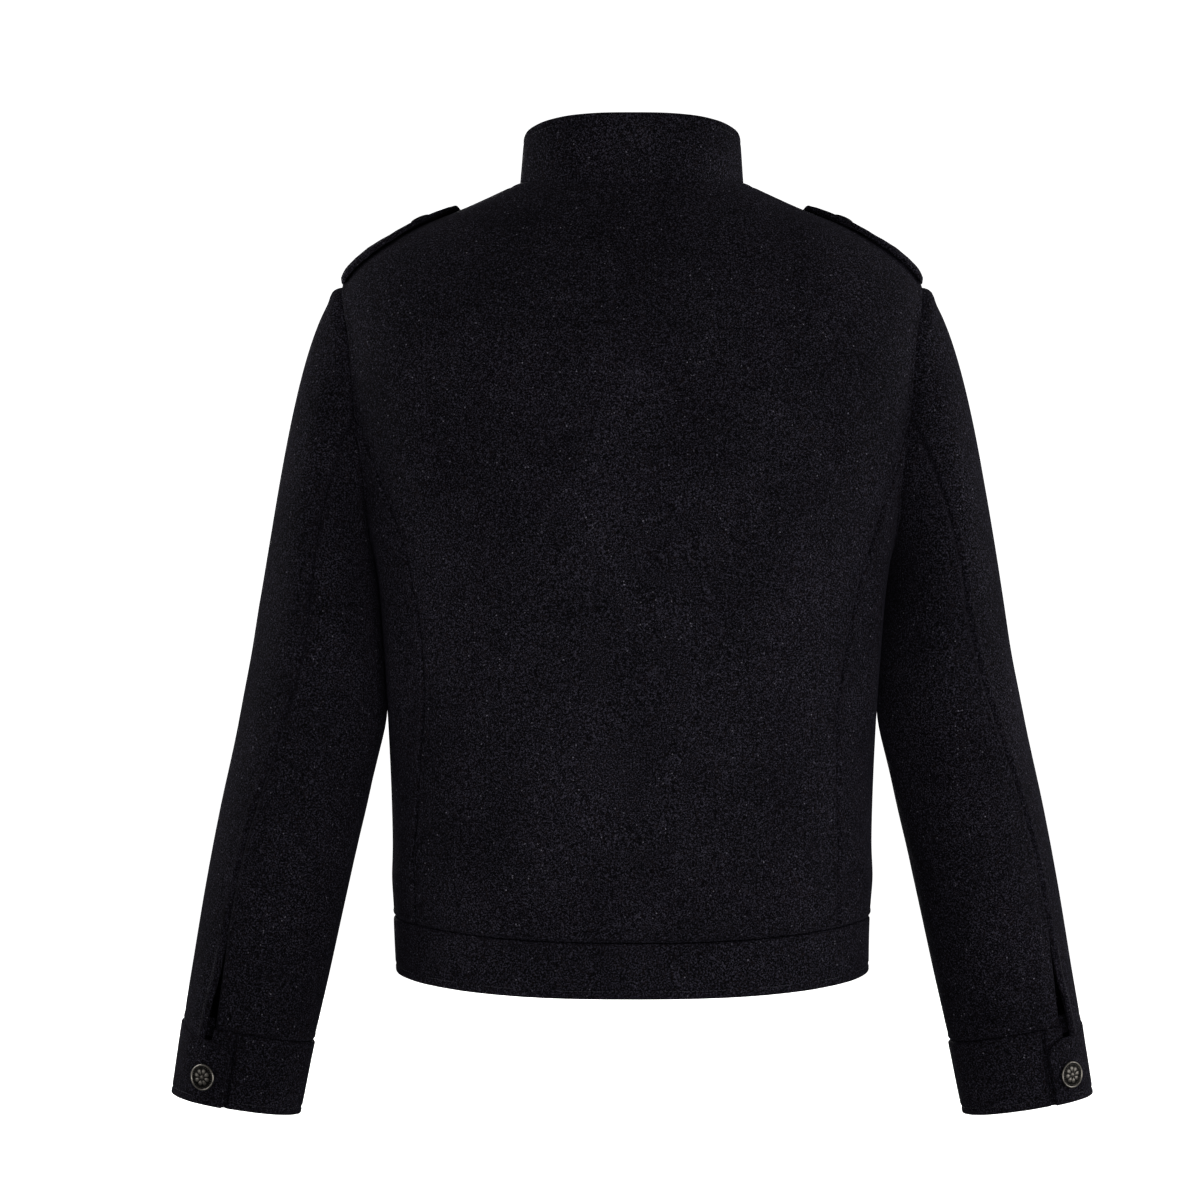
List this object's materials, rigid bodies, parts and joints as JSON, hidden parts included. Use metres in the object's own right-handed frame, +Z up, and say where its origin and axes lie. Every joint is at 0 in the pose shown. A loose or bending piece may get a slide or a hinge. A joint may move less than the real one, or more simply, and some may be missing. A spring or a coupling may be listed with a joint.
{
  "type": "military jacket",
  "caption": "Short waist-length military jacket in black wool, filled out, with a stand collar, shoulder straps, two-piece sleeves, buttoned cuffs and a waistband.",
  "frame": {"origin": "middle of the neck opening, level with the points where the shoulder seams meet the collar", "axes": "+Z up, +Y towards the jacket's back, +X towards the wearer's left"},
  "size_m": [0.7275, 0.2584, 0.7814],
  "materials": {
    "wool_melton": "felted, matt, with a short nap",
    "antique_pewter": "antique silver, satin with darkened hollows"
  },
  "bodies": {
    "root": {"back_panel": "wool_melton", "side_panel_left": "wool_melton", "side_panel_right": "wool_melton", "front_left": "wool_melton", "front_right": "wool_melton", "collar": "wool_melton", "waistband": "wool_melton", "sleeve_top_left": "wool_melton", "sleeve_top_right": "wool_melton", "sleeve_under_left": "wool_melton", "sleeve_under_right": "wool_melton", "cuff_left": "wool_melton", "cuff_right": "wool_melton", "shoulder_strap_left": "wool_melton", "shoulder_strap_right": "wool_melton", "front_button_1": "antique_pewter", "front_button_2": "antique_pewter", "front_button_3": "antique_pewter", "front_button_4": "antique_pewter", "front_button_5": "antique_pewter", "waistband_button": "antique_pewter", "cuff_button_left": "antique_pewter", "cuff_button_right": "antique_pewter", "strap_button_left": "antique_pewter", "strap_button_right": "antique_pewter"}
  },
  "joints": []
}
